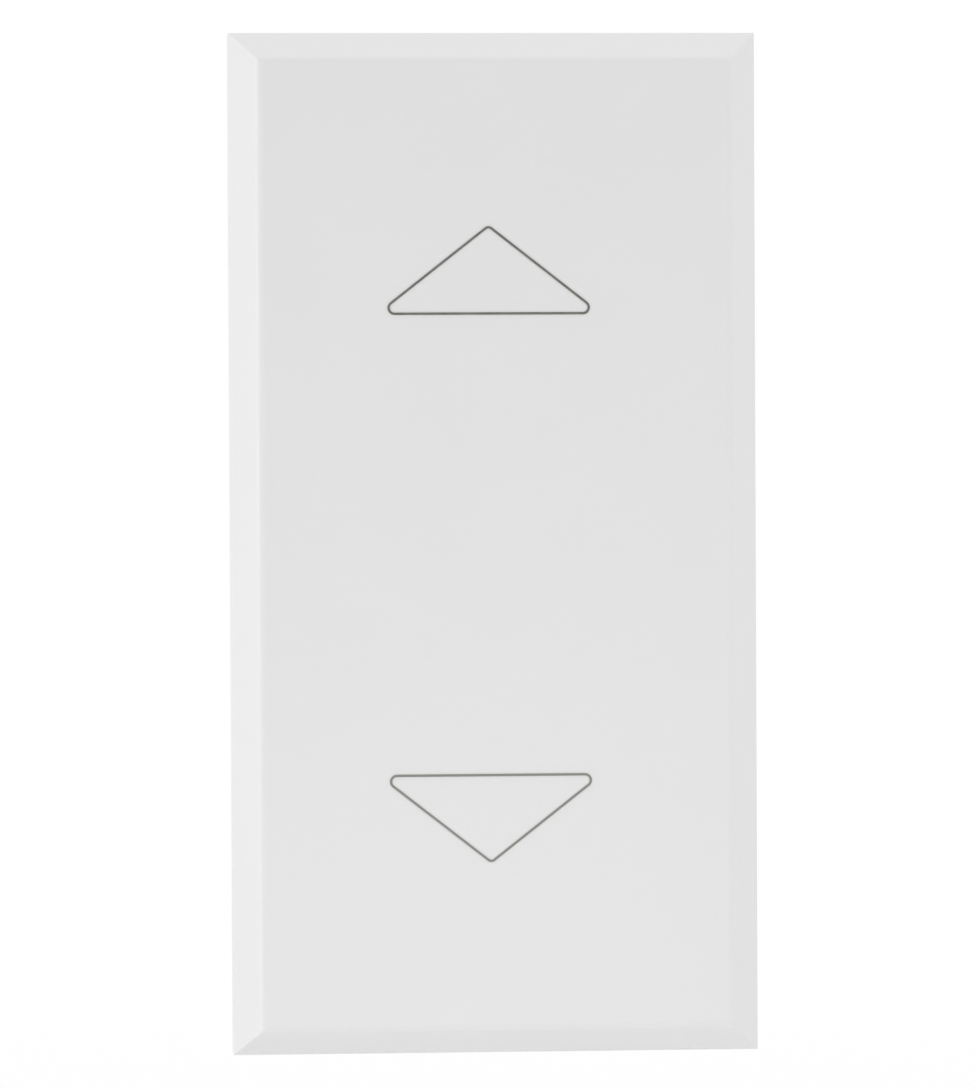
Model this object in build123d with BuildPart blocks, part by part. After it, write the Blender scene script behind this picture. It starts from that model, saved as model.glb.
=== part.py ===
from build123d import *
import os
from math import atan2, degrees, radians, sin

os.makedirs("parts", exist_ok=True)

# A one-module double push-button: one centre-off rocker key works two sprung push-buttons.
# Millimetres. X is the width, Z is up, and the key faces -Y.
# The origin is the middle of the plane where the flange seats on its mounting frame.

# Key
key_width = 22.4
key_height = 43.4
key_wall = 1.2
bevel_width = 1.2
bevel_depth = 1.9
bevel_edge_radius = 0.4
skirt_depth = 2.65
key_tilt_degrees = 5.0
key_rear_gap = 0.25
key_overhang = 0.5
key_rib_thickness = 0.8
key_rib_height = 0.8
key_rib_gap = 0.05

# Printed triangles on the key, each with its base nearer to the key's middle than the push point
arrow_x = -0.3
arrow_base_drop = 3.3
arrow_height = 3.8
arrow_half_width = 4.85
arrow_line = 0.10
arrow_corner_radius = 0.30
arrow_apex_radius = 0.25
ink_thickness = 0.03

# Clips that hold the key on its carrier
clip_x = 4.2
clip_z = 6.4
clip_width = 3.0
clip_thickness = 1.0
clip_barb = 0.35
clip_barb_length = 0.9
clip_play = 0.05

# Carrier and its pivot
carrier_thickness = 1.4
carrier_margin = 2.2
cheek_thickness = 1.2
cheek_gap = 0.4
cheek_rim = 0.5
trunnion_radius = 1.5
trunnion_fit = 0.05
trunnion_end_gap = 0.2
ear_wall = 0.9
ear_gap = 0.65
ear_margin = 1.6
foot_radius = 1.0
foot_width = 6.0
foot_gap = 0.27
spine_thickness = 1.2
spine_height = 1.1
leadin_depth = 0.5

# Front housing
flange_inset = 0.2
flange_thickness = 1.8
flange_corner_radius = 0.8
flange_edge_radius = 0.4
seat_side_lip = 0.4
seat_end_lip = 1.4
collar_side_gap = 0.5
collar_end_gap = 1.2
collar_wall = 1.2
collar_rise = 2.8
floor_thickness = 1.5
housing_wall = 1.2
housing_wall_depth = 2.5

# Plungers
plunger_radius = 1.9
plunger_fit = 0.05
plunger_chamfer = 0.3
working_gap = 0.02
guide_wall = 1.5
guide_length = 1.1
shoulder_radius = 2.5
shoulder_thickness = 1.8
stop_gap = 0.25
pin_length = 3.0

# Contacts
strip_width = 3.6
strip_thickness = 0.8
strip_bend_radius = 0.5
strip_slot_play = 0.05
tip_radius = 1.3
tip_thickness = 0.6
tip_chamfer = 0.2
contact_gap = 0.03
bridge_overhang = 1.8
bridge_corner_radius = 1.0

# Return springs
spring_radius = 1.8
spring_wire = 0.4
spring_turns = 6
spring_length = 6.6
spring_play = 0.02
spring_pocket_gap = 0.4
spring_pin_gap = 0.4

# Terminals
clamp_length = 6.5
clamp_leg = 1.2
clamp_side = 1.0
clamp_side_gap = 0.3
clamp_end_gap = 0.3
clamp_corner_radius = 0.7
clamp_tongue_gap = 0.3
tongue_side_gap = 0.3
wire_space = 3.4
screw_radius = 1.6
screw_fit = 0.05
screw_pitch = 0.7
screw_turns = 4
screw_tip_gap = 0.03
screw_head_radius = 2.3
screw_head_height = 1.8
screw_head_gap = 0.3
screw_head_chamfer = 0.25
screw_slot_width = 0.7
screw_slot_depth = 0.9
driver_hole_radius = 2.0

# Contact block
side_wall = 1.2
front_cavity_wall = 2.0
middle_rib = 3.6
chamber_gap = 0.2
bulkhead_web = 2.0
core_floor = 1.2
core_wall = 1.2

# Rear cover
cover_thickness = 1.6
seam_chamfer = 0.2
cover_edge_radius = 0.5
wire_hole_radius = 2.2
wire_hole_chamfer = 0.6
funnel_wall = 0.7
funnel_length = 2.5
funnel_gap = 0.4
hook_width = 4.0
hook_thickness = 1.0
hook_length = 4.6
hook_barb = 0.7
hook_barb_length = 1.4
hook_play = 0.1

# Latch arms between the front housing and the contact block
arm_z = 8.5
arm_width = 4.6
arm_thickness = 0.8
arm_length = 6.0
arm_inset = 0.05
arm_play = 0.1
arm_window_width = 2.8
arm_window_length = 1.7
arm_window_from_end = 1.3
catch_height = 0.7

# Snap tongues that hold the mounting frame
frame_lip = 2.0
frame_lip_play = 0.15
tongue_width = 6.0
tongue_thickness = 1.0
tongue_slot = 0.5
tongue_length = 9.0
tongue_flex_gap = 1.0
tongue_end_gap = 0.5
tooth_width = 4.8
tooth_height = 0.9
tooth_flat = 0.8
tooth_ramp = 2.2

# Heights above the middle, for the upper end; the lower end is its mirror image
flange_height = key_height - 2 * key_overhang
body_height = flange_height - 2 * seat_end_lip
chamber_top_z = body_height / 2 - side_wall
head_top_z = chamber_top_z - chamber_gap
head_seat_z = head_top_z - screw_head_height
clamp_travel = screw_pitch * screw_turns
clamp_outer_z = head_seat_z - screw_head_gap - clamp_travel
strip_outer_z = clamp_outer_z - clamp_leg - clamp_tongue_gap
strip_inner_z = strip_outer_z - strip_thickness
screw_tip_z = strip_outer_z + screw_tip_gap
pole_z = strip_inner_z + strip_width / 2
arrow_base_z = pole_z - arrow_base_drop
wire_z = strip_inner_z - wire_space / 2
clamp_inner_z = strip_inner_z - wire_space - clamp_leg
clamp_height = clamp_outer_z - clamp_inner_z
clamp_middle_z = (clamp_outer_z + clamp_inner_z) / 2
funnel_radius = wire_hole_radius + funnel_wall
chamber_bottom_z = min(clamp_inner_z, wire_z - funnel_radius) - chamber_gap
carrier_height = 2 * (pole_z + carrier_margin)
collar_height = carrier_height + 2 * (collar_end_gap + collar_wall)

# Widths
flange_width = key_width - 2 * flange_inset
body_width = flange_width - 2 * seat_side_lip
collar_width = key_width - 2 * (key_wall + collar_side_gap)
collar_inner_width = collar_width - 2 * collar_wall
carrier_width = collar_inner_width - 2 * cheek_gap
chamber_width = body_width / 2 - side_wall - middle_rib / 2
terminal_x = middle_rib / 2 + chamber_width / 2
clamp_width = chamber_width - 2 * clamp_side_gap
strip_length = clamp_width - 2 * (clamp_side + tongue_side_gap)
bridge_length = 2 * (terminal_x + bridge_overhang)

# Depths, from the key's face to the back
key_end_travel = key_height / 2 * sin(radians(key_tilt_degrees))
plunger_travel = pole_z * radians(key_tilt_degrees)
flange_front = -flange_thickness
key_rear = flange_front - key_end_travel - key_rear_gap
bevel_rear = key_rear - skirt_depth
key_front = bevel_rear - bevel_depth
key_inside = key_front + key_wall
carrier_rear = key_inside + carrier_thickness
bearing_radius = trunnion_radius + trunnion_fit
pivot_y = key_inside + ear_gap + ear_wall + bearing_radius
foot_tip = pivot_y + foot_radius
plunger_front = foot_tip + working_gap
floor_front = foot_tip + plunger_travel + foot_gap
floor_rear = floor_front + floor_thickness
guide_rear = floor_rear + guide_length
shoulder_front = guide_rear + plunger_travel + stop_gap
bridge_front = shoulder_front + shoulder_thickness
bridge_rear = bridge_front + strip_thickness
bridge_tip_rear = bridge_rear + tip_thickness
fixed_tip_front = bridge_tip_rear + plunger_travel + contact_gap
strip_front = fixed_tip_front + tip_thickness
bulkhead_front = strip_front + strip_thickness
spring_seat = bridge_rear + spring_length
bulkhead_rear = spring_seat + bulkhead_web
clamp_front = bulkhead_rear + clamp_end_gap
clamp_rear = clamp_front + clamp_length
screw_y = (clamp_front + clamp_rear) / 2
funnel_front = clamp_rear + funnel_gap
strip_end = (clamp_rear + funnel_front) / 2
cover_front = funnel_front + funnel_length
body_rear = cover_front + cover_thickness

# Fits that several pieces share
guide_radius = plunger_radius + plunger_fit
pin_radius = spring_radius - spring_wire / 2 - spring_pin_gap
spring_pocket_radius = spring_radius + spring_wire / 2 + spring_pocket_gap
bridge_hole_radius = pin_radius + plunger_fit
arm_outer_x = body_width / 2 - arm_inset
arm_inner_x = arm_outer_x - arm_thickness
arm_end = housing_wall_depth + arm_length
tongue_floor_z = body_height / 2 - tongue_thickness - tongue_flex_gap
tongue_pocket_end = tongue_length + tongue_end_gap

# The upper end and the right side count as positive
ends = {"upper": 1, "lower": -1}
sides = {"left": -1, "right": 1}


def depth_plane(y):
    """A sketch plane at depth y that faces the front: x to the right, z up."""
    return Plane.XZ.offset(-y)


# The key cover: a bevelled shell with stiffening ribs and four clips
with BuildPart() as rocker_key:
    with BuildSketch(depth_plane(key_rear)):
        Rectangle(key_width, key_height)
    extrude(amount=skirt_depth)
    with BuildSketch(depth_plane(bevel_rear)):
        Rectangle(key_width, key_height)
    extrude(amount=bevel_depth, taper=degrees(atan2(bevel_width, bevel_depth)))
    back = rocker_key.faces().sort_by(Axis.Y)[-1]
    offset(amount=-key_wall, openings=back, kind=Kind.INTERSECTION)
    face = rocker_key.faces().sort_by(Axis.Y)[0]
    fillet(face.edges(), radius=bevel_edge_radius)
    with BuildSketch(depth_plane(key_inside + clip_play + carrier_thickness + clip_barb_length)):
        with GridLocations(2 * clip_x, 2 * clip_z, 2, 2):
            Rectangle(clip_width, clip_thickness)
    extrude(amount=clip_play + carrier_thickness + clip_barb_length)
    with BuildSketch(depth_plane(key_inside + key_rib_height)):
        with GridLocations(0, carrier_height + 2 * key_rib_gap + key_rib_thickness, 1, 2):
            Rectangle(key_width - 2 * key_wall, key_rib_thickness)
    extrude(amount=key_rib_height)
    barb_front = carrier_rear + clip_play
    for end in ends.values():
        clip_outer_z = end * (clip_z + clip_thickness / 2)
        for side in sides.values():
            with BuildSketch(Plane.YZ.offset(side * clip_x)):
                with BuildLine():
                    Polyline(
                        (barb_front, clip_outer_z),
                        (barb_front, clip_outer_z + end * clip_barb),
                        (barb_front + clip_barb_length, clip_outer_z),
                        close=True,
                    )
                make_face()
            extrude(amount=clip_width / 2, both=True)
rocker_key.part.label = "rocker_key"
export_step(rocker_key.part, "parts/rocker_key.step")

# The two printed triangles
for arrow_name, end in {"up_arrow_mark": 1, "down_arrow_mark": -1}.items():
    with BuildPart() as arrow_mark:
        with BuildSketch(depth_plane(key_front)) as outline:
            with BuildLine():
                Polyline(
                    (arrow_x - arrow_half_width, end * arrow_base_z),
                    (arrow_x, end * (arrow_base_z + arrow_height)),
                    (arrow_x + arrow_half_width, end * arrow_base_z),
                    close=True,
                )
            make_face()
            base_corners = outline.vertices().group_by(Axis.X)
            fillet(base_corners[0] + base_corners[-1], radius=arrow_corner_radius)
            apex = outline.vertices().sort_by(Axis.Y)[-1 if end > 0 else 0]
            fillet(apex, radius=arrow_apex_radius)
            offset(amount=-arrow_line, mode=Mode.SUBTRACT)
        extrude(amount=ink_thickness)
    arrow_mark.part.label = arrow_name
    export_step(arrow_mark.part, f"parts/{arrow_name}.step")

# The carrier: a plate with clip windows, two cheeks with trunnions, and two rounded pusher feet
with BuildPart() as rocker_carrier:
    with BuildSketch(depth_plane(carrier_rear)):
        RectangleRounded(carrier_width, carrier_height, cheek_rim)
        with GridLocations(2 * clip_x, 2 * clip_z, 2, 2):
            Rectangle(clip_width + 2 * clip_play, clip_thickness + 2 * clip_play, mode=Mode.SUBTRACT)
    extrude(amount=carrier_thickness)
    with BuildSketch(depth_plane(carrier_rear + spine_height)):
        Rectangle(spine_thickness, 2 * pole_z)
    extrude(amount=spine_height)
    for side in sides.values():
        cheek_outer = side * carrier_width / 2
        with BuildSketch(Plane.YZ.offset(cheek_outer)):
            with Locations(((carrier_rear + pivot_y) / 2, 0)):
                Rectangle(pivot_y - carrier_rear, 2 * (trunnion_radius + cheek_rim))
            with Locations((pivot_y, 0)):
                Circle(trunnion_radius + cheek_rim)
        extrude(amount=-side * cheek_thickness)
        with BuildSketch(Plane.YZ.offset(cheek_outer)):
            with Locations((pivot_y, 0)):
                Circle(trunnion_radius)
        extrude(amount=side * (cheek_gap + collar_wall - trunnion_end_gap))
    for end in ends.values():
        with BuildSketch(Plane.YZ):
            with Locations(((carrier_rear + pivot_y) / 2, end * pole_z)):
                Rectangle(pivot_y - carrier_rear, 2 * foot_radius)
            with Locations((pivot_y, end * pole_z)):
                Circle(foot_radius)
        extrude(amount=foot_width / 2, both=True)
rocker_carrier.part.label = "rocker_carrier"
export_step(rocker_carrier.part, "parts/rocker_carrier.step")

# The front housing: flange, collar with trunnion ears, plunger guides, latch arms and snap tongues
with BuildPart() as front_housing:
    with BuildSketch(depth_plane(0)):
        RectangleRounded(flange_width, flange_height, flange_corner_radius)
    extrude(amount=flange_thickness)
    fillet(front_housing.faces().sort_by(Axis.Y)[0].edges(), radius=flange_edge_radius)
    with BuildSketch(depth_plane(flange_front)):
        RectangleRounded(collar_width, collar_height, flange_corner_radius)
    extrude(amount=collar_rise)
    with BuildSketch(depth_plane(housing_wall_depth)):
        RectangleRounded(body_width, body_height, flange_corner_radius)
    extrude(amount=housing_wall_depth)
    ear_radius = bearing_radius + ear_wall
    for side in sides.values():
        with BuildSketch(Plane.YZ.offset(side * collar_width / 2)):
            with Locations((pivot_y, 0)):
                Circle(ear_radius)
            with Locations(((pivot_y + flange_front) / 2, 0)):
                Trapezoid(
                    2 * (ear_radius + ear_margin), flange_front - pivot_y, 55, rotation=90
                )
        extrude(amount=-side * collar_wall)
    with BuildSketch(depth_plane(floor_front)):
        RectangleRounded(
            collar_inner_width, collar_height - 2 * collar_wall, flange_corner_radius
        )
    extrude(amount=floor_front - key_front, mode=Mode.SUBTRACT)
    with BuildSketch(depth_plane(housing_wall_depth)):
        RectangleRounded(
            body_width - 2 * housing_wall, body_height - 2 * housing_wall, flange_corner_radius
        )
    extrude(amount=housing_wall_depth - floor_rear, mode=Mode.SUBTRACT)
    with BuildSketch(depth_plane(guide_rear)):
        with GridLocations(0, 2 * pole_z, 1, 2):
            Circle(guide_radius + guide_wall)
    extrude(amount=guide_length)
    with BuildSketch(depth_plane(guide_rear)):
        with GridLocations(0, 2 * pole_z, 1, 2):
            Circle(guide_radius)
    extrude(amount=guide_rear - floor_front, mode=Mode.SUBTRACT)
    for side in sides.values():
        with BuildSketch(Plane.YZ.offset(side * collar_inner_width / 2)):
            with Locations((pivot_y, 0)):
                Circle(bearing_radius)
        extrude(amount=side * collar_wall, mode=Mode.SUBTRACT)
        with BuildSketch(Plane.YZ.offset(side * collar_inner_width / 2)):
            with Locations((pivot_y - ear_radius, 0)):
                Rectangle(2 * ear_radius, 2 * trunnion_radius)
        extrude(amount=side * leadin_depth, mode=Mode.SUBTRACT)
    with BuildSketch(depth_plane(housing_wall_depth)):
        with GridLocations(tongue_width + tongue_slot, body_height - housing_wall, 2, 2):
            Rectangle(tongue_slot, 2 * housing_wall)
    extrude(amount=housing_wall_depth, mode=Mode.SUBTRACT)
    with BuildSketch(depth_plane(tongue_length)):
        with GridLocations(0, body_height - tongue_thickness, 1, 2):
            Rectangle(tongue_width, tongue_thickness)
    extrude(amount=tongue_length)
    tooth_front = frame_lip + frame_lip_play
    tooth_rear = tooth_front + tooth_flat + tooth_ramp
    for end in ends.values():
        tooth_root_z = end * body_height / 2
        tooth_tip_z = tooth_root_z + end * tooth_height
        tongue_middle_z = tooth_root_z - end * tongue_thickness / 2
        with BuildSketch(Plane.YZ):
            with BuildLine():
                Polyline(
                    (tooth_front, tongue_middle_z),
                    (tooth_front, tooth_tip_z),
                    (tooth_front + tooth_flat, tooth_tip_z),
                    (tooth_rear, tooth_root_z),
                    (tooth_rear, tongue_middle_z),
                    close=True,
                )
            make_face()
        extrude(amount=tooth_width / 2, both=True)
    arm_y = housing_wall_depth + arm_length / 2
    window_y = arm_end - arm_window_from_end - arm_window_length / 2
    for side in sides.values():
        with BuildSketch(Plane.YZ.offset(side * arm_outer_x)):
            with Locations((arm_y, arm_z), (arm_y, -arm_z)):
                Rectangle(arm_length, arm_width)
            with Locations((window_y, arm_z), (window_y, -arm_z)):
                Rectangle(arm_window_length, arm_window_width, mode=Mode.SUBTRACT)
        extrude(amount=-side * arm_thickness)
front_housing.part.label = "front_housing"
export_step(front_housing.part, "parts/front_housing.step")

# The contact block: one moulding with pockets cut from the front, the back, the ends and the sides
with BuildPart() as contact_block:
    with BuildSketch(depth_plane(cover_front)):
        RectangleRounded(body_width, body_height, flange_corner_radius)
    extrude(amount=cover_front - housing_wall_depth)
    chamfer(contact_block.faces().sort_by(Axis.Y)[-1].edges(), length=seam_chamfer)
    with BuildSketch(depth_plane(bulkhead_front)):
        RectangleRounded(
            body_width - 2 * front_cavity_wall, 2 * (tongue_floor_z - side_wall), flange_corner_radius
        )
    extrude(amount=bulkhead_front - housing_wall_depth, mode=Mode.SUBTRACT)
    with BuildSketch(depth_plane(spring_seat)):
        with GridLocations(0, 2 * pole_z, 1, 2):
            Circle(spring_pocket_radius)
    extrude(amount=spring_seat - bulkhead_front, mode=Mode.SUBTRACT)
    with BuildSketch(depth_plane(bulkhead_rear)):
        with GridLocations(2 * terminal_x, strip_inner_z + strip_outer_z, 2, 2):
            Rectangle(strip_length + 2 * strip_slot_play, strip_thickness)
        with GridLocations(2 * terminal_x, 2 * strip_outer_z, 2, 2):
            Rectangle(strip_length + 2 * strip_slot_play, 2 * strip_slot_play)
    extrude(amount=bulkhead_rear - bulkhead_front, mode=Mode.SUBTRACT)
    with BuildSketch(depth_plane(cover_front)):
        with GridLocations(2 * terminal_x, chamber_top_z + chamber_bottom_z, 2, 2):
            Rectangle(chamber_width, chamber_top_z - chamber_bottom_z)
    extrude(amount=cover_front - bulkhead_rear, mode=Mode.SUBTRACT)
    core_half_height = chamber_bottom_z - core_wall
    with BuildSketch(depth_plane(cover_front)):
        with GridLocations(2 * terminal_x, 0, 2, 1):
            Rectangle(chamber_width, 2 * core_half_height)
    extrude(amount=cover_front - bulkhead_front - core_floor, mode=Mode.SUBTRACT)
    for end in ends.values():
        with BuildSketch(Plane.XY.offset(end * chamber_top_z)):
            with Locations((-terminal_x, screw_y), (terminal_x, screw_y)):
                Circle(driver_hole_radius)
        extrude(amount=end * side_wall, mode=Mode.SUBTRACT)
        with BuildSketch(Plane.XY.offset(end * tongue_floor_z)):
            with Locations((0, (housing_wall_depth + tongue_pocket_end) / 2)):
                Rectangle(tongue_width + 2 * tongue_slot, tongue_pocket_end - housing_wall_depth)
        extrude(amount=end * (tongue_thickness + tongue_flex_gap), mode=Mode.SUBTRACT)
    catch_rear = arm_end - arm_window_from_end - arm_play
    catch_front = catch_rear - arm_window_length + 2 * arm_play
    recess_x = arm_inner_x - arm_inset
    recess_y = (housing_wall_depth + arm_end + arm_play) / 2
    for side in sides.values():
        with BuildSketch(Plane.YZ.offset(side * recess_x)):
            with Locations((recess_y, arm_z), (recess_y, -arm_z)):
                Rectangle(arm_length + arm_play, arm_width + 2 * arm_play)
        extrude(amount=side * (body_width / 2 - recess_x), mode=Mode.SUBTRACT)
        for end in ends.values():
            with BuildSketch(Plane.XY.offset(end * arm_z)):
                with BuildLine():
                    Polyline(
                        (side * recess_x, catch_front),
                        (side * (recess_x + catch_height), catch_rear - arm_play),
                        (side * (recess_x + catch_height), catch_rear),
                        (side * recess_x, catch_rear),
                        close=True,
                    )
                make_face()
            extrude(amount=arm_window_width / 2 - arm_play, both=True)
        with BuildSketch(Plane.YZ.offset(side * (body_width / 2 - side_wall))):
            with Locations((cover_front - hook_length + hook_barb_length / 2, 0)):
                Rectangle(hook_barb_length + 2 * hook_play, hook_width + 2 * hook_play)
        extrude(amount=side * side_wall, mode=Mode.SUBTRACT)
contact_block.part.label = "contact_block"
export_step(contact_block.part, "parts/contact_block.step")

# The rear cover: a plate with four wire funnels and two side hooks
with BuildPart() as rear_cover:
    with BuildSketch(depth_plane(body_rear)):
        RectangleRounded(body_width, body_height, flange_corner_radius)
    extrude(amount=cover_thickness)
    chamfer(rear_cover.faces().sort_by(Axis.Y)[0].edges(), length=seam_chamfer)
    fillet(rear_cover.faces().sort_by(Axis.Y)[-1].edges(), radius=cover_edge_radius)
    with BuildSketch(depth_plane(cover_front)):
        with GridLocations(2 * terminal_x, 2 * wire_z, 2, 2):
            Circle(funnel_radius)
    extrude(amount=funnel_length)
    hook_outer_x = body_width / 2 - side_wall - hook_play
    hook_front = cover_front - hook_length
    for side in sides.values():
        with BuildSketch(Plane.XY):
            with BuildLine():
                Polyline(
                    (side * hook_outer_x, cover_front),
                    (side * hook_outer_x, hook_front + hook_barb_length),
                    (side * (hook_outer_x + hook_barb), hook_front + hook_barb_length),
                    (side * hook_outer_x, hook_front),
                    (side * (hook_outer_x - hook_thickness), hook_front),
                    (side * (hook_outer_x - hook_thickness), cover_front),
                    close=True,
                )
            make_face()
        extrude(amount=hook_width / 2, both=True)
    with BuildSketch(depth_plane(body_rear)):
        with GridLocations(2 * terminal_x, 2 * wire_z, 2, 2):
            Circle(wire_hole_radius)
    extrude(amount=body_rear - funnel_front, mode=Mode.SUBTRACT)
    back = rear_cover.faces().filter_by(Axis.Y).sort_by(Axis.Y)[-1]
    chamfer([hole.edge() for hole in back.inner_wires()], length=wire_hole_chamfer)
rear_cover.part.label = "rear_cover"
export_step(rear_cover.part, "parts/rear_cover.step")

# The two poles: plunger, bridge with its tips, and return spring
pin_tip = bridge_rear + pin_length
for end_name, end in ends.items():
    with BuildPart() as plunger:
        with BuildSketch(Plane.YZ):
            with BuildLine():
                Polyline(
                    (plunger_front, end * pole_z),
                    (plunger_front, end * (pole_z + plunger_radius - plunger_chamfer)),
                    (plunger_front + plunger_chamfer, end * (pole_z + plunger_radius)),
                    (shoulder_front, end * (pole_z + plunger_radius)),
                    (shoulder_front, end * (pole_z + shoulder_radius)),
                    (bridge_front, end * (pole_z + shoulder_radius)),
                    (bridge_front, end * (pole_z + pin_radius)),
                    (pin_tip - plunger_chamfer, end * (pole_z + pin_radius)),
                    (pin_tip, end * (pole_z + pin_radius - plunger_chamfer)),
                    (pin_tip, end * pole_z),
                    close=True,
                )
            make_face()
        revolve(axis=Axis((0, 0, end * pole_z), (0, 1, 0)))
    plunger.part.label = f"{end_name}_plunger"
    export_step(plunger.part, f"parts/{end_name}_plunger.step")

    with BuildPart() as bridge:
        with BuildSketch(depth_plane(bridge_rear)):
            with Locations((0, end * pole_z)):
                RectangleRounded(bridge_length, strip_width, bridge_corner_radius)
                Circle(bridge_hole_radius, mode=Mode.SUBTRACT)
        extrude(amount=strip_thickness)
    bridge.part.label = f"{end_name}_bridge"
    export_step(bridge.part, f"parts/{end_name}_bridge.step")

    with BuildPart() as bridge_tips:
        with BuildSketch(depth_plane(bridge_tip_rear)):
            with Locations((-terminal_x, end * pole_z), (terminal_x, end * pole_z)):
                Circle(tip_radius)
        extrude(amount=tip_thickness)
        chamfer(bridge_tips.faces().group_by(Axis.Y)[-1].edges(), length=tip_chamfer)
    bridge_tips.part.label = f"{end_name}_bridge_tips"
    export_step(bridge_tips.part, f"parts/{end_name}_bridge_tips.step")

    coil_start = bridge_rear + spring_wire / 2 + spring_play
    coil_height = spring_length - spring_wire - 2 * spring_play
    with BuildPart() as return_spring:
        with BuildLine() as coil:
            Helix(
                pitch=coil_height / spring_turns,
                height=coil_height,
                radius=spring_radius,
                center=(0, coil_start, end * pole_z),
                direction=(0, 1, 0),
            )
        with BuildSketch(Plane(origin=coil.line @ 0, z_dir=coil.line % 0)):
            Circle(spring_wire / 2)
        sweep(is_frenet=True)
    return_spring.part.label = f"{end_name}_return_spring"
    export_step(return_spring.part, f"parts/{end_name}_return_spring.step")

# The four terminals: contact strip, rising cage and screw
for end_name, end in ends.items():
    for side_name, side in sides.items():
        terminal = f"{end_name}_{side_name}"

        with BuildPart() as contact_strip:
            with BuildSketch(Plane.YZ.offset(side * terminal_x)):
                with BuildLine():
                    Polyline(
                        (strip_front, end * (strip_inner_z + strip_width)),
                        (strip_front, end * strip_inner_z),
                        (strip_end, end * strip_inner_z),
                        (strip_end, end * strip_outer_z),
                        (bulkhead_front, end * strip_outer_z),
                        (bulkhead_front, end * (strip_inner_z + strip_width)),
                        close=True,
                    )
                make_face()
            extrude(amount=strip_length / 2, both=True)
            outer_bend = contact_strip.edges().filter_by(Axis.X).sort_by_distance(
                (side * terminal_x, strip_front, end * strip_inner_z)
            )[0]
            fillet(outer_bend, radius=strip_bend_radius)
        contact_strip.part.label = f"{terminal}_contact"
        export_step(contact_strip.part, f"parts/{terminal}_contact.step")

        with BuildPart() as clamp:
            with BuildSketch(depth_plane(clamp_rear)):
                with Locations((side * terminal_x, end * clamp_middle_z)):
                    RectangleRounded(clamp_width, clamp_height, clamp_corner_radius)
                    Rectangle(
                        clamp_width - 2 * clamp_side, clamp_height - 2 * clamp_leg, mode=Mode.SUBTRACT
                    )
            extrude(amount=clamp_length)
            with BuildSketch(Plane.XY.offset(end * clamp_middle_z)):
                with Locations((side * terminal_x, screw_y)):
                    Circle(screw_radius + screw_fit)
            extrude(amount=end * clamp_height / 2, mode=Mode.SUBTRACT)
        clamp.part.label = f"{terminal}_clamp"
        export_step(clamp.part, f"parts/{terminal}_clamp.step")

        with BuildPart() as screw:
            with BuildSketch(Plane.XY.offset(end * screw_tip_z)):
                with Locations((side * terminal_x, screw_y)):
                    Circle(screw_radius)
            extrude(amount=end * (head_seat_z - screw_tip_z))
            with BuildSketch(Plane.XY.offset(end * head_seat_z)):
                with Locations((side * terminal_x, screw_y)):
                    Circle(screw_head_radius)
            extrude(amount=end * screw_head_height)
            head = screw.faces().sort_by_distance((side * terminal_x, screw_y, end * head_top_z))[0]
            chamfer(head.edges(), length=screw_head_chamfer)
            with BuildSketch(Plane.XY.offset(end * head_top_z)):
                with Locations((side * terminal_x, screw_y)):
                    Rectangle(2 * screw_head_radius, screw_slot_width)
            extrude(amount=-end * screw_slot_depth, mode=Mode.SUBTRACT)
        screw.part.label = f"{terminal}_screw"
        export_step(screw.part, f"parts/{terminal}_screw.step")

# The four fixed contact tips, alike, one on each strip
with BuildPart() as fixed_contact_tips:
    with BuildSketch(depth_plane(strip_front)):
        with GridLocations(2 * terminal_x, 2 * pole_z, 2, 2):
            Circle(tip_radius)
    extrude(amount=tip_thickness)
    chamfer(fixed_contact_tips.faces().group_by(Axis.Y)[0].edges(), length=tip_chamfer)
fixed_contact_tips.part.label = "fixed_contact_tips"
export_step(fixed_contact_tips.part, "parts/fixed_contact_tips.step")
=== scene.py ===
import math

import bpy
from mathutils import Matrix, Vector


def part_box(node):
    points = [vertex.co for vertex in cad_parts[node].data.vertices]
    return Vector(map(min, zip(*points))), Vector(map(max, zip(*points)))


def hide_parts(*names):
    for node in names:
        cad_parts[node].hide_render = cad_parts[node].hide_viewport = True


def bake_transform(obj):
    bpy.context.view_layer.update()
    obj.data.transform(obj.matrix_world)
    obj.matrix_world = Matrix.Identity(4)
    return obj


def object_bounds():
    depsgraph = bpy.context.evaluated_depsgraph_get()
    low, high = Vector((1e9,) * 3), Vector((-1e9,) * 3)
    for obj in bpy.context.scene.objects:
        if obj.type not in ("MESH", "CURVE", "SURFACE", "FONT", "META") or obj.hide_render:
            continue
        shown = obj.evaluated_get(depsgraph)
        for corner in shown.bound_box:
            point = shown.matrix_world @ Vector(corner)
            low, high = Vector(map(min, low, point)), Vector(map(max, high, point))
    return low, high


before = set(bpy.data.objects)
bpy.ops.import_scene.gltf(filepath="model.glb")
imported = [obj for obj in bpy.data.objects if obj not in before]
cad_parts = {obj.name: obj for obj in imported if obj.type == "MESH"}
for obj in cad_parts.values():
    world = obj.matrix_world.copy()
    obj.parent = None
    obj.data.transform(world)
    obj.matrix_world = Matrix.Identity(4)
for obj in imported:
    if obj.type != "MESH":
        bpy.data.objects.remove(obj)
cad_box = [list(corner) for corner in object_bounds()]

# The camera at the photograph's angle, in metres, degrees and pixels of the picture's height, with the side of
# its sensor in millimetres
picture_height = 1089
camera_left = 0.0156
camera_above = 0.0051
camera_front = 0.2440
camera_turn = 3.69
camera_dip = 1.24
camera_roll = -0.28
focal_pixels = 5589
shift_pixels = 0.2
sensor_side = 36
nearest_seen = 0.01
farthest_seen = 10

# The studio, in metres; the floor grows from nearly white to white over the shadow's reach from the object
floor_gap = 0.010
floor_side = 6
floor_matt = (0.97, 0.97, 0.97)
floor_white = 0.8
shadow_reach = (0.04, 0.16)
room_light = 0.86

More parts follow.
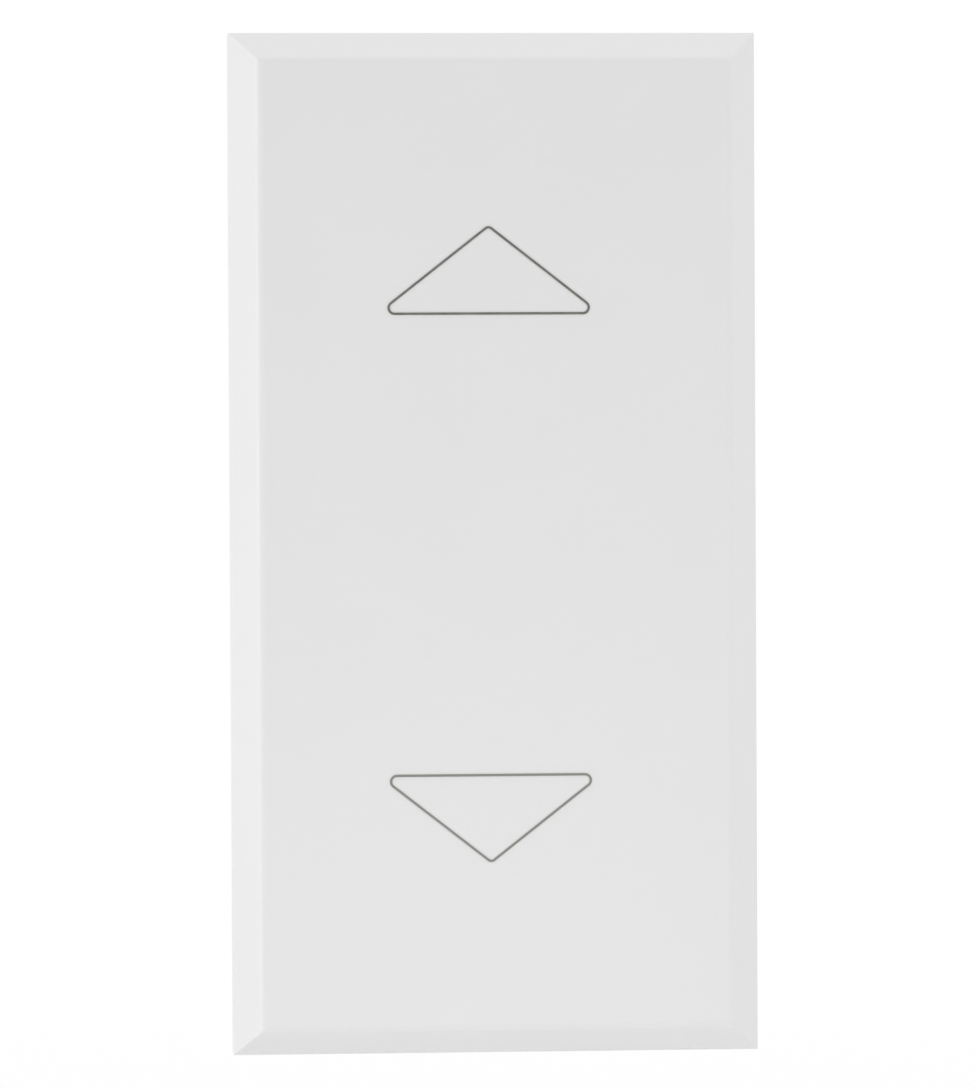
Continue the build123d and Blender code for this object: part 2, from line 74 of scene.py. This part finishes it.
# Each soft lamp: its place, the point that it looks at and its side, in metres, and its power in watts
soft_lamps = {
    "left_window": dict(place=(-0.55, 0.0, 0.0), target=(0, 0, -0.02), side=0.08, power=0.528),
    "right_window": dict(place=(0.60, 0.05, 0.05), target=(0, 0, 0), side=0.5, power=0.238),
    "top_window": dict(place=(0.0, 0.05, 0.60), target=(0, 0, 0), side=0.5, power=0.563),
    "low_card": dict(place=(0.0, -0.08, -0.029), target=(0, 0, -0.029), side=0.005, power=0.0044),
    "under_card": dict(place=(0.0, -0.012, -0.0305), target=(0, -0.012, 0), side=0.02, power=0.000118),
}

# Where the contact tips and the screws stand from the middle, in metres
upper_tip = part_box("upper_bridge_tips")
upper_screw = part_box("upper_right_screw")
pole_height = (upper_tip[0][2] + upper_tip[1][2]) / 2
screw_side = (upper_screw[0][0] + upper_screw[1][0]) / 2
screw_depth = (upper_screw[0][1] + upper_screw[1][1]) / 2

# Each moulded plastic: its colour, that of its patches, its roughness from clear places to patches, its grains
# and patches a metre, the grain's depth in metres, and for a filled plastic the colour of its fibres
plastics = {
    "key_plastic": dict(
        colour=(0.757, 0.757, 0.758), patch_colour=(0.763, 0.763, 0.764),
        rough=(0.42, 0.48), grains=6500, patches=220, grain_depth=0.0000015,
    ),
    "carrier_plastic": dict(
        colour=(0.61, 0.62, 0.63), patch_colour=(0.63, 0.64, 0.65), fibre_colour=(0.66, 0.67, 0.67),
        rough=(0.46, 0.56), grains=5000, patches=320, grain_depth=0.000006,
    ),
    "housing_plastic": dict(
        colour=(0.71, 0.71, 0.69), patch_colour=(0.73, 0.73, 0.71), fibre_colour=(0.76, 0.76, 0.74),
        rough=(0.44, 0.54), grains=5000, patches=260, grain_depth=0.000006,
    ),
    "block_plastic": dict(
        colour=(0.535, 0.555, 0.565), patch_colour=(0.56, 0.58, 0.59), fibre_colour=(0.60, 0.62, 0.63),
        rough=(0.48, 0.58), grains=4500, patches=200, grain_depth=0.000006,
    ),
    "cover_plastic": dict(
        colour=(0.525, 0.545, 0.555), patch_colour=(0.55, 0.57, 0.58), fibre_colour=(0.59, 0.61, 0.62),
        rough=(0.46, 0.56), grains=4000, patches=180, grain_depth=0.000006,
    ),
    "plunger_plastic": dict(
        colour=(0.73, 0.72, 0.68), patch_colour=(0.77, 0.76, 0.72),
        rough=(0.28, 0.36), grains=9000, patches=500, grain_depth=0.000002,
    ),
}

# The colours of the ink and of the metals
ink_grey, ink_patch, ink_thin = (0.125, 0.130, 0.110), (0.165, 0.170, 0.148), (0.235, 0.240, 0.215)
brass_gold, brass_streak, brass_spot = (0.66, 0.45, 0.18), (0.58, 0.39, 0.14), (0.40, 0.24, 0.09)
silver_bright, silver_met, silver_spot = (0.84, 0.83, 0.80), (0.42, 0.41, 0.40), (0.66, 0.63, 0.56)
wire_light, wire_dark, wire_heat = (0.56, 0.56, 0.56), (0.44, 0.44, 0.45), (0.42, 0.37, 0.30)
zinc_dark, zinc_light, zinc_cast = (0.56, 0.57, 0.57), (0.68, 0.68, 0.66), (0.62, 0.58, 0.44)

# Their roughness from one kind of place to the other, and the depth of their marks in metres
ink_rough, ink_depth = (0.45, 0.7), 0.000002
brass_rough, brass_depth = (0.22, 0.4), 0.000004
silver_rough, silver_depth = (0.2, 0.42), 0.000005
wire_rough, wire_depth = (0.24, 0.42), 0.000003
zinc_rough, zinc_depth = (0.26, 0.42), 0.000005

# How much rougher a brown spot makes brass, how strong the zinc's cast is, and by how much a lathe's lines
# multiply its roughness
spot_dulling = 0.25
cast_strength = 0.6
turned_gloss = (0.8, 1.3)

# The worn middle of a contact tip: where it starts to fade and ends, in metres, and its strength
met_reach = (0.0003, 0.0010)
met_strength = 0.75

# The spans that textures are read over: most of a noise, its middle, and the soft edges of fibres, spots
# and joints
most_noise = (0.3, 0.7)
middle_noise = (0.35, 0.65)
fibre_edge = (0, 0.06)
spot_edge = (0, 0.18)
joint_edge = (0, 0.08)

# A fibre lies one of three ways, each with its slimness across and along
fibre_ways = ((1, 9, 9), (9, 9, 1), (9, 1, 9))

FLOAT, VECTOR = "NodeSocketFloat", "NodeSocketVector"

# The places of a colour Mix node's sockets, which share their names with its other sockets
FIRST_COLOUR, SECOND_COLOUR, MIXED_COLOUR = 6, 7, 2


def photo_camera():
    """The camera at the photograph's angle."""
    data = bpy.data.cameras.new("photo_camera")
    data.sensor_width = sensor_side
    data.lens = focal_pixels * sensor_side / picture_height
    data.shift_x = shift_pixels / picture_height
    data.shift_y = shift_pixels / picture_height
    data.clip_start, data.clip_end = nearest_seen, farthest_seen
    camera = bpy.data.objects.new("photo_camera", data)
    bpy.context.scene.collection.objects.link(camera)
    turn = Matrix.Rotation(math.radians(-camera_turn), 4, "Z")
    dip = Matrix.Rotation(math.radians(90 - camera_dip), 4, "X")
    roll = Matrix.Rotation(math.radians(camera_roll), 4, "Z")
    place = Matrix.Translation((-camera_left, -camera_front, camera_above))
    camera.matrix_world = place @ turn @ dip @ roll
    bpy.context.scene.camera = camera


def soft_lamp(name, place, target, side, power):
    """One soft square lamp that looks at a point."""
    data = bpy.data.lights.new(name, "AREA")
    data.shape = "SQUARE"
    data.size = side
    data.energy = power
    light = bpy.data.objects.new(name, data)
    bpy.context.scene.collection.objects.link(light)
    light.location = place
    light.rotation_euler = (Vector(target) - Vector(place)).to_track_quat("-Z", "Y").to_euler()
    light.visible_camera = False


def seen_directly(nodes, links):
    """1 where the camera, a gloss or a clear piece looks at the backdrop, 0 where it gives light."""
    path = nodes.new("ShaderNodeLightPath")
    first = combine(nodes, links, "MAXIMUM", path.outputs["Is Camera Ray"], path.outputs["Is Glossy Ray"])
    return combine(nodes, links, "MAXIMUM", first, path.outputs["Is Transmission Ray"])


def studio_room():
    """Even light from all round, with a white view behind the object."""
    world = bpy.data.worlds.new("studio_room")
    bpy.context.scene.world = world
    world.use_nodes = True
    nodes, links = world.node_tree.nodes, world.node_tree.links
    nodes.clear()
    out = nodes.new("ShaderNodeOutputWorld")
    light = nodes.new("ShaderNodeBackground")
    light.inputs["Strength"].default_value = room_light
    white = nodes.new("ShaderNodeBackground")
    for background in (light, white):
        background.inputs["Color"].default_value = (1, 1, 1, 1)
    mix = nodes.new("ShaderNodeMixShader")
    links.new(seen_directly(nodes, links), mix.inputs[0])
    links.new(light.outputs[0], mix.inputs[1])
    links.new(white.outputs[0], mix.inputs[2])
    links.new(mix.outputs[0], out.inputs["Surface"])


def studio_floor():
    """A floor under the object, clear of it because the photograph shows no contact, with a soft shadow."""
    material = bpy.data.materials.new("studio_white")
    material.use_nodes = True
    nodes, links = material.node_tree.nodes, material.node_tree.links
    nodes.clear()
    out = nodes.new("ShaderNodeOutputMaterial")
    matt = nodes.new("ShaderNodeBsdfDiffuse")
    matt.inputs["Color"].default_value = (*floor_matt, 1)
    white = nodes.new("ShaderNodeEmission")
    white.inputs["Color"].default_value = (1, 1, 1, 1)
    away = nodes.new("ShaderNodeVectorMath")
    away.operation = "LENGTH"
    links.new(object_place(nodes), away.inputs[0])
    whiter = spread(nodes, links, away.outputs["Value"], shadow_reach, (floor_white, 1))
    mix = nodes.new("ShaderNodeMixShader")
    links.new(combine(nodes, links, "MULTIPLY", seen_directly(nodes, links), whiter), mix.inputs[0])
    links.new(matt.outputs[0], mix.inputs[1])
    links.new(white.outputs[0], mix.inputs[2])
    links.new(mix.outputs[0], out.inputs["Surface"])
    half, height = floor_side / 2, cad_box[0][2] - floor_gap
    corners = [(x * half, y * half, height) for x, y in ((-1, -1), (1, -1), (1, 1), (-1, 1))]
    mesh = bpy.data.meshes.new("studio_floor")
    mesh.from_pydata(corners, [], [(0, 1, 2, 3)])
    mesh.materials.append(material)
    floor = bpy.data.objects.new("studio_floor", mesh)
    bpy.context.scene.collection.objects.link(floor)


def surface_group(name, given, results):
    """An empty shader group; given holds each input's name, kind and value, results the outputs' names."""
    group = bpy.data.node_groups.new(name, "ShaderNodeTree")
    for label, kind, value in given:
        group.interface.new_socket(label, in_out="INPUT", socket_type=kind).default_value = value
    for label in results:
        group.interface.new_socket(label, in_out="OUTPUT", socket_type=FLOAT)
    start, end = group.nodes.new("NodeGroupInput"), group.nodes.new("NodeGroupOutput")
    return group, start.outputs, end.inputs


def object_place(nodes):
    """The point on the object, in metres from the middle of the flange's seat."""
    return nodes.new("ShaderNodeTexCoord").outputs["Object"]


def noise(nodes, links, place, scale, detail):
    """Cloudy values from 0 to 1 around 0.5."""
    texture = nodes.new("ShaderNodeTexNoise")
    texture.inputs["Detail"].default_value = detail
    links.new(place, texture.inputs["Vector"])
    links.new(scale, texture.inputs["Scale"])
    return texture.outputs["Fac"]


def spread(nodes, links, value, span, new_span=(0, 1)):
    """A value within one span, carried to the new span and held there."""
    ramp = nodes.new("ShaderNodeMapRange")
    ramp.inputs["From Min"].default_value, ramp.inputs["From Max"].default_value = span
    ramp.inputs["To Min"].default_value, ramp.inputs["To Max"].default_value = new_span
    links.new(value, ramp.inputs["Value"])
    return ramp.outputs["Result"]


def along(nodes, links, place, reach):
    """The same point with its x, y and z stretched, so that a texture runs long where reach is small."""
    stretch = nodes.new("ShaderNodeVectorMath")
    stretch.operation = "MULTIPLY"
    links.new(place, stretch.inputs[0])
    if isinstance(reach, tuple):
        stretch.inputs[1].default_value = reach
    else:
        links.new(reach, stretch.inputs[1])
    return stretch.outputs[0]


def combine(nodes, links, operation, first, second):
    """One sum of two values; the second may be a plain number."""
    sum_node = nodes.new("ShaderNodeMath")
    sum_node.operation = operation
    links.new(first, sum_node.inputs[0])
    if isinstance(second, (int, float)):
        sum_node.inputs[1].default_value = second
    else:
        links.new(second, sum_node.inputs[1])
    return sum_node.outputs[0]


def moulding_grain_group():
    """The fine grain of a spark-eroded mould, and the broad patches where plastic cooled at its own pace."""
    given = [("Grains Per Metre", FLOAT, 6000), ("Patches Per Metre", FLOAT, 250)]
    group, start, end = surface_group("moulding_grain", given, ["Height", "Patches"])
    nodes, links = group.nodes, group.links
    place = object_place(nodes)
    links.new(noise(nodes, links, place, start["Grains Per Metre"], detail=3), end["Height"])
    patches = noise(nodes, links, place, start["Patches Per Metre"], detail=2)
    links.new(spread(nodes, links, patches, middle_noise), end["Patches"])
    return group


def glass_fibre_group():
    """Short glass fibres that lie near the skin of a filled plastic, some across and some upright."""
    given = [("Fibres Per Metre", FLOAT, 2600), ("Fewer", FLOAT, 0.66)]
    group, start, end = surface_group("glass_fibre", given, ["Fibres"])
    nodes, links = group.nodes, group.links
    place = object_place(nodes)
    lying = []
    for reach in fibre_ways:
        stretched = along(nodes, links, place, reach)
        streaks = noise(nodes, links, stretched, start["Fibres Per Metre"], detail=0)
        over = combine(nodes, links, "SUBTRACT", streaks, start["Fewer"])
        lying.append(spread(nodes, links, over, fibre_edge))
    crossed = combine(nodes, links, "MAXIMUM", lying[0], lying[1])
    links.new(combine(nodes, links, "MAXIMUM", crossed, lying[2]), end["Fibres"])
    return group


def rolled_streak_group():
    """The streaks that rolls leave along a strip; Reach is small along the roll's direction."""
    given = [("Streaks Per Metre", FLOAT, 5000), ("Reach", VECTOR, (0.03, 1, 1))]
    group, start, end = surface_group("rolled_streak", given, ["Streaks"])
    nodes, links = group.nodes, group.links
    stretched = along(nodes, links, object_place(nodes), start["Reach"])
    links.new(noise(nodes, links, stretched, start["Streaks Per Metre"], detail=2), end["Streaks"])
    return group


def tarnish_group():
    """Spots where the air has dulled the metal; a higher Clean leaves fewer of them."""
    given = [("Spots Per Metre", FLOAT, 900), ("Clean", FLOAT, 0.5)]
    group, start, end = surface_group("tarnish", given, ["Tarnish"])
    nodes, links = group.nodes, group.links
    spots = noise(nodes, links, object_place(nodes), start["Spots Per Metre"], detail=5)
    over = combine(nodes, links, "SUBTRACT", spots, start["Clean"])
    links.new(spread(nodes, links, over, spot_edge), end["Tarnish"])
    return group


def plated_crystal_group():
    """The crystals of a plated skin: each has its own brightness, with a fine joint round it."""
    given = [("Crystals Per Metre", FLOAT, 2500)]
    group, start, end = surface_group("plated_crystal", given, ["Crystals", "Joints"])
    nodes, links = group.nodes, group.links
    place = object_place(nodes)
    cells = nodes.new("ShaderNodeTexVoronoi")
    edges = nodes.new("ShaderNodeTexVoronoi")
    edges.feature = "DISTANCE_TO_EDGE"
    for texture in (cells, edges):
        links.new(place, texture.inputs["Vector"])
        links.new(start["Crystals Per Metre"], texture.inputs["Scale"])
    parts = nodes.new("ShaderNodeSeparateColor")
    links.new(cells.outputs["Color"], parts.inputs["Color"])
    links.new(parts.outputs["Red"], end["Crystals"])
    links.new(spread(nodes, links, edges.outputs["Distance"], joint_edge, (1, 0)), end["Joints"])
    return group


def turned_line_group():
    """Lines that run round an axis, as a lathe or a wire die leaves them, with the distance from the axis.
    The object is alike above and below, and left and right, so one axis serves all its images."""
    given = [
        ("Axis Place", VECTOR, (0, 0, 0)),
        ("Axis Direction", VECTOR, (0, 0, 1)),
        ("Lines Per Metre", FLOAT, 5000),
    ]
    group, start, end = surface_group("turned_line", given, ["Lines", "Distance"])
    nodes, links = group.nodes, group.links
    fold = nodes.new("ShaderNodeVectorMath")
    fold.operation = "ABSOLUTE"
    links.new(object_place(nodes), fold.inputs[0])
    offset = nodes.new("ShaderNodeVectorMath")
    offset.operation = "SUBTRACT"
    links.new(fold.outputs[0], offset.inputs[0])
    links.new(start["Axis Place"], offset.inputs[1])
    depth = nodes.new("ShaderNodeVectorMath")
    depth.operation = "DOT_PRODUCT"
    links.new(offset.outputs[0], depth.inputs[0])
    links.new(start["Axis Direction"], depth.inputs[1])
    axial = nodes.new("ShaderNodeVectorMath")
    axial.operation = "SCALE"
    links.new(start["Axis Direction"], axial.inputs[0])
    links.new(depth.outputs["Value"], axial.inputs["Scale"])
    across = nodes.new("ShaderNodeVectorMath")
    across.operation = "SUBTRACT"
    links.new(offset.outputs[0], across.inputs[0])
    links.new(axial.outputs[0], across.inputs[1])
    radius = nodes.new("ShaderNodeVectorMath")
    radius.operation = "LENGTH"
    links.new(across.outputs[0], radius.inputs[0])
    unrolled = nodes.new("ShaderNodeCombineXYZ")
    links.new(radius.outputs["Value"], unrolled.inputs["X"])
    links.new(depth.outputs["Value"], unrolled.inputs["Y"])
    links.new(noise(nodes, links, unrolled.outputs[0], start["Lines Per Metre"], detail=2), end["Lines"])
    links.new(radius.outputs["Value"], end["Distance"])
    return group


moulding_grain = moulding_grain_group()
glass_fibre = glass_fibre_group()
rolled_streak = rolled_streak_group()
tarnish = tarnish_group()
plated_crystal = plated_crystal_group()
turned_line = turned_line_group()


def bare_surface(slot, metal=0.0):
    """The record's material with a fresh shader: its nodes, its links and the shader."""
    material = bpy.data.materials[slot]
    nodes, links = material.node_tree.nodes, material.node_tree.links
    nodes.clear()
    shader = nodes.new("ShaderNodeBsdfPrincipled")
    shader.inputs["Metallic"].default_value = metal
    out = nodes.new("ShaderNodeOutputMaterial")
    links.new(shader.outputs["BSDF"], out.inputs["Surface"])
    return nodes, links, shader


def use(nodes, group, **settings):
    """One use of a shared group, with its inputs set by name; a space in a name is written as _."""
    node = nodes.new("ShaderNodeGroup")
    node.node_tree = group
    for label, value in settings.items():
        node.inputs[label.replace("_", " ")].default_value = value
    return node.outputs


def colour_between(nodes, links, share, first, second):
    """The first colour where share is 0 and the second where it is 1; the first may be another blend."""
    mix = nodes.new("ShaderNodeMix")
    mix.data_type = "RGBA"
    links.new(share, mix.inputs["Factor"])
    if isinstance(first, tuple):
        mix.inputs[FIRST_COLOUR].default_value = (*first, 1)
    else:
        links.new(first, mix.inputs[FIRST_COLOUR])
    mix.inputs[SECOND_COLOUR].default_value = (*second, 1)
    return mix.outputs[MIXED_COLOUR]


def relief(nodes, links, shader, height, depth):
    """Raises the height by depth in metres on the shader's surface."""
    bump = nodes.new("ShaderNodeBump")
    bump.inputs["Distance"].default_value = depth
    links.new(height, bump.inputs["Height"])
    links.new(bump.outputs["Normal"], shader.inputs["Normal"])


def moulded_plastic(slot, colour, patch_colour, rough, grains, patches, grain_depth, fibre_colour=None):
    """Moulded plastic with its mould's grain; a filled plastic also shows its fibres."""
    nodes, links, shader = bare_surface(slot)
    grain = use(nodes, moulding_grain, Grains_Per_Metre=grains, Patches_Per_Metre=patches)
    base = colour_between(nodes, links, grain["Patches"], colour, patch_colour)
    if fibre_colour:
        fibres = use(nodes, glass_fibre)
        base = colour_between(nodes, links, fibres["Fibres"], base, fibre_colour)
    links.new(base, shader.inputs["Base Color"])
    links.new(spread(nodes, links, grain["Patches"], (0, 1), rough), shader.inputs["Roughness"])
    relief(nodes, links, shader, grain["Height"], grain_depth)


def printed_ink():
    """Screen-printed grey ink, thinner in places and on the lower triangle, where the white comes through."""
    nodes, links, shader = bare_surface("arrow_ink")
    grain = use(nodes, moulding_grain, Grains_Per_Metre=15000, Patches_Per_Metre=2200)
    base = colour_between(nodes, links, grain["Patches"], ink_grey, ink_patch)
    height = nodes.new("ShaderNodeSeparateXYZ")
    links.new(object_place(nodes), height.inputs[0])
    thin = spread(nodes, links, height.outputs["Z"], (-pole_height / 2, pole_height / 2), (1, 0))
    base = colour_between(nodes, links, thin, base, ink_thin)
    links.new(base, shader.inputs["Base Color"])
    links.new(spread(nodes, links, grain["Height"], most_noise, ink_rough), shader.inputs["Roughness"])
    relief(nodes, links, shader, grain["Height"], ink_depth)


def rolled_brass(slot, reach, clean):
    """Stamped brass strip with the roll's streaks and browner spots."""
    nodes, links, shader = bare_surface(slot, metal=1.0)
    streaks = use(nodes, rolled_streak, Reach=reach)["Streaks"]
    spots = use(nodes, tarnish, Clean=clean)["Tarnish"]
    base = colour_between(nodes, links, streaks, brass_gold, brass_streak)
    base = colour_between(nodes, links, spots, base, brass_spot)
    links.new(base, shader.inputs["Base Color"])
    dull = combine(nodes, links, "MULTIPLY", spots, spot_dulling)
    rough = combine(nodes, links, "ADD", spread(nodes, links, streaks, most_noise, brass_rough), dull)
    links.new(rough, shader.inputs["Roughness"])
    relief(nodes, links, shader, streaks, brass_depth)


def silver_tip():
    """Coined silver faces with a greyer spot in the middle, where they meet."""
    nodes, links, shader = bare_surface("contact_tip", metal=1.0)
    middle = (screw_side, 0, pole_height)
    turned = use(nodes, turned_line, Axis_Place=middle, Axis_Direction=(0, 1, 0), Lines_Per_Metre=9000)
    spots = use(nodes, tarnish, Spots_Per_Metre=3000, Clean=0.48)["Tarnish"]
    met = spread(nodes, links, turned["Distance"], met_reach, (met_strength, 0))
    base = colour_between(nodes, links, met, silver_bright, silver_met)
    base = colour_between(nodes, links, spots, base, silver_spot)
    links.new(base, shader.inputs["Base Color"])
    links.new(spread(nodes, links, turned["Lines"], most_noise, silver_rough), shader.inputs["Roughness"])
    relief(nodes, links, shader, turned["Lines"], silver_depth)


def drawn_wire():
    """Spring wire with fine lines along it and a faint heat colour."""
    nodes, links, shader = bare_surface("spring_steel", metal=1.0)
    middle = (0, 0, pole_height)
    drawn = use(nodes, turned_line, Axis_Place=middle, Axis_Direction=(0, 1, 0), Lines_Per_Metre=16000)
    spots = use(nodes, tarnish, Spots_Per_Metre=1400, Clean=0.46)["Tarnish"]
    base = colour_between(nodes, links, drawn["Lines"], wire_light, wire_dark)
    base = colour_between(nodes, links, spots, base, wire_heat)
    links.new(base, shader.inputs["Base Color"])
    links.new(spread(nodes, links, drawn["Lines"], most_noise, wire_rough), shader.inputs["Roughness"])
    relief(nodes, links, shader, drawn["Lines"], wire_depth)


def zinc_plated(slot, crystals, turned_marks=False):
    """Zinc-plated steel: crystals, dull joints and a yellowish cast; a screw also has its lathe's lines."""
    nodes, links, shader = bare_surface(slot, metal=1.0)
    skin = use(nodes, plated_crystal, Crystals_Per_Metre=crystals)
    spots = use(nodes, tarnish, Spots_Per_Metre=500, Clean=0.42)["Tarnish"]
    base = colour_between(nodes, links, skin["Crystals"], zinc_dark, zinc_light)
    cast = combine(nodes, links, "MULTIPLY", spots, cast_strength)
    base = colour_between(nodes, links, cast, base, zinc_cast)
    links.new(base, shader.inputs["Base Color"])
    rough = spread(nodes, links, skin["Crystals"], (0, 1), zinc_rough)
    height = skin["Joints"]
    if turned_marks:
        axis = (screw_side, screw_depth, 0)
        turned = use(nodes, turned_line, Axis_Place=axis, Lines_Per_Metre=7000)
        gloss = spread(nodes, links, turned["Lines"], most_noise, turned_gloss)
        rough = combine(nodes, links, "MULTIPLY", rough, gloss)
        height = turned["Lines"]
    links.new(rough, shader.inputs["Roughness"])
    relief(nodes, links, shader, height, zinc_depth)


def follow_springs():
    """Both return springs again, as still copies of the record's springs, which are hidden in their place."""
    for end in ("upper", "lower"):
        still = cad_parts[f"{end}_return_spring"]
        spring = bpy.data.objects.new(f"{end}_working_spring", still.data.copy())
        bpy.context.scene.collection.objects.link(spring)
        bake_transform(spring)
        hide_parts(f"{end}_return_spring")


for slot, look in plastics.items():
    moulded_plastic(slot, **look)
printed_ink()
rolled_brass("bridge_brass", reach=(0.03, 1, 1), clean=0.58)
rolled_brass("contact_brass", reach=(1, 0.03, 1), clean=0.56)
silver_tip()
drawn_wire()
zinc_plated("clamp_steel", crystals=2200)
zinc_plated("screw_steel", crystals=3500, turned_marks=True)

follow_springs()
photo_camera()
studio_floor()
studio_room()
for name, lamp in soft_lamps.items():
    soft_lamp(name, **lamp)

bpy.context.scene.view_settings.view_transform = "Standard"
